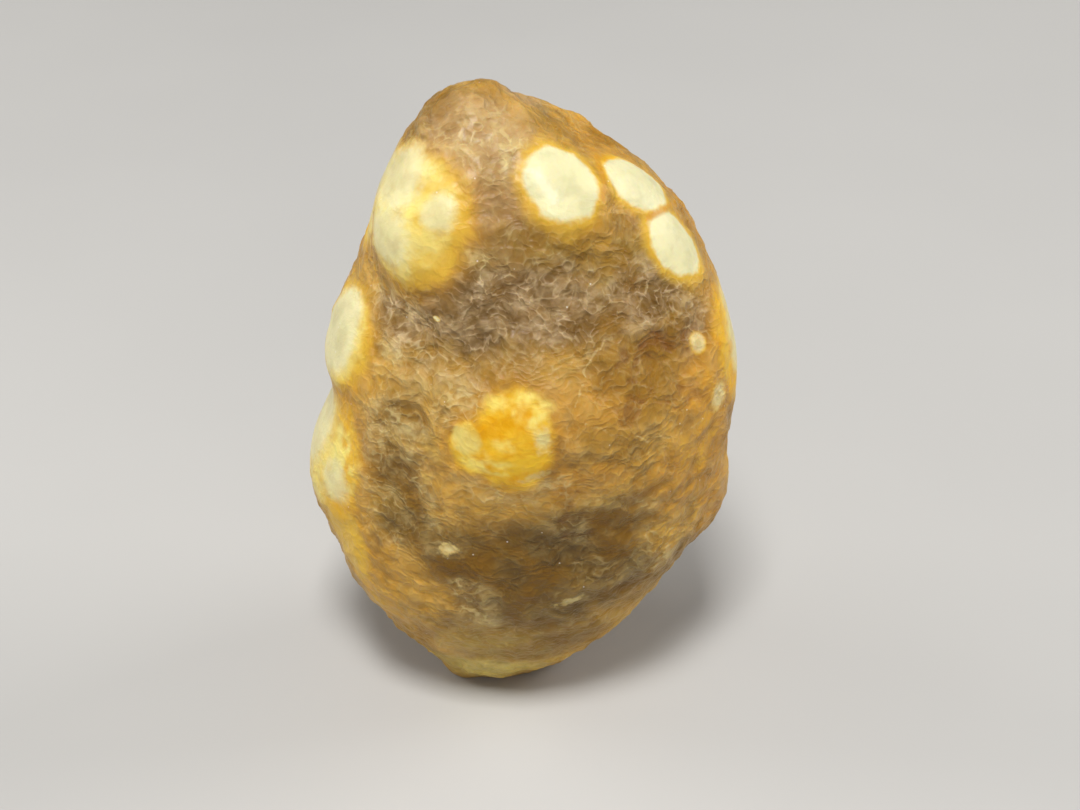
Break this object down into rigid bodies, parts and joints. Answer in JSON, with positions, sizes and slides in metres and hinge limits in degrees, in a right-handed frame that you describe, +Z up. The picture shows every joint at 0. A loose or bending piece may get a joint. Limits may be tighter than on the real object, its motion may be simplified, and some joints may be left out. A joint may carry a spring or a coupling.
{
  "type": "raw agate pebble",
  "caption": "Raw honey-brown agate pebble with rounded cream eyes in a crinkled waxy skin, standing on a small flat at its narrow end.",
  "frame": {"origin": "middle of the small flat at the narrow end, which the stone stands on", "axes": "+Z up, along the stone's length from the foot to the crown; -Y towards the front of the stone, the face with the boss in its middle; +X to the right seen from the front"},
  "size_m": [0.0299, 0.0239, 0.0446],
  "materials": {
    "agate": "waxy, slightly glossy, translucent in life"
  },
  "bodies": {
    "root": {"agate_pebble": "agate"}
  },
  "joints": []
}
